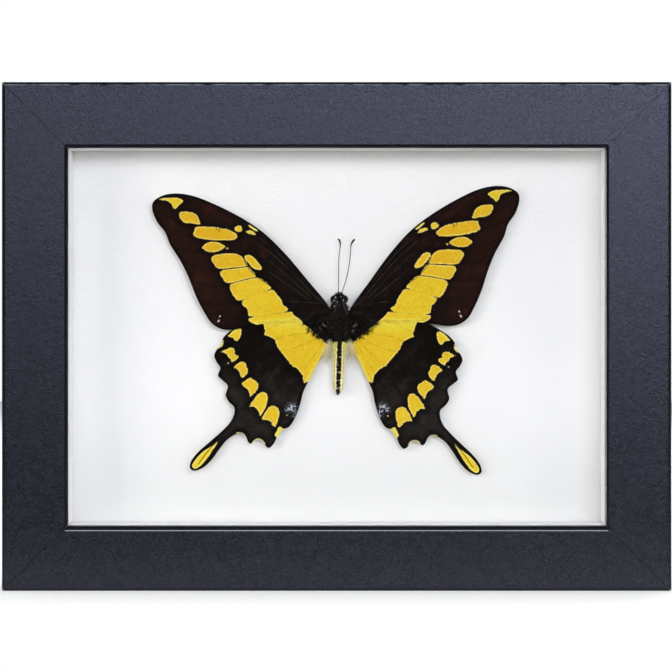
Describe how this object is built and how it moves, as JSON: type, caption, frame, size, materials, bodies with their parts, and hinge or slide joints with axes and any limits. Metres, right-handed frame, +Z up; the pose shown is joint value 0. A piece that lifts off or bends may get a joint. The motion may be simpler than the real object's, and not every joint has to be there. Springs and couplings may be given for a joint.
{
  "type": "framed butterfly specimen",
  "caption": "Spread swallowtail butterfly glazed in a shallow black box frame over a white board, to stand on a shelf or hang on a wall.",
  "frame": {"origin": "middle of the frame's bottom edge, half way from the front face to the back of the bumpers", "axes": "+Z up, -Y out of the glazed front, +X to the right of a viewer who faces the front"},
  "size_m": [0.2, 0.03, 0.152],
  "materials": {
    "moulding": "satin black lacquer with a faint speckle",
    "glass": "clear float glass",
    "white_board": "matt white paper face",
    "hardboard": "raw hardboard",
    "zinc_steel": "zinc plated",
    "brass_plate": "brass plated steel",
    "rubber": "matt black",
    "wing_scales": "matt scales, dark brown with yellow bands and spots",
    "body_fur": "black hair",
    "abdomen": "pale yellow scales with a black back stripe",
    "cuticle": "dark horn-like cuticle"
  },
  "bodies": {
    "root": {"rail_top": "moulding", "rail_bottom": "moulding", "rail_left": "moulding", "rail_right": "moulding", "glass": "glass", "spacer_top": "white_board", "spacer_bottom": "white_board", "spacer_left": "white_board", "spacer_right": "white_board", "mount_board": "white_board", "mounting_pad": "white_board", "backing_board": "hardboard", "point_top_1": "zinc_steel", "point_top_2": "zinc_steel", "point_bottom_1": "zinc_steel", "point_bottom_2": "zinc_steel", "point_left": "zinc_steel", "point_right": "zinc_steel", "hanger": "brass_plate", "hanger_nail_left": "zinc_steel", "hanger_nail_right": "zinc_steel", "bumper_left": "rubber", "bumper_right": "rubber", "forewing_left": "wing_scales", "forewing_right": "wing_scales", "hindwing_left": "wing_scales", "hindwing_right": "wing_scales", "head": "body_fur", "thorax": "body_fur", "abdomen": "abdomen", "antenna_left": "cuticle", "antenna_right": "cuticle", "proboscis": "cuticle", "leg_front_left": "cuticle", "leg_front_right": "cuticle", "leg_middle_left": "cuticle", "leg_middle_right": "cuticle", "leg_hind_left": "cuticle", "leg_hind_right": "cuticle"}
  },
  "joints": []
}
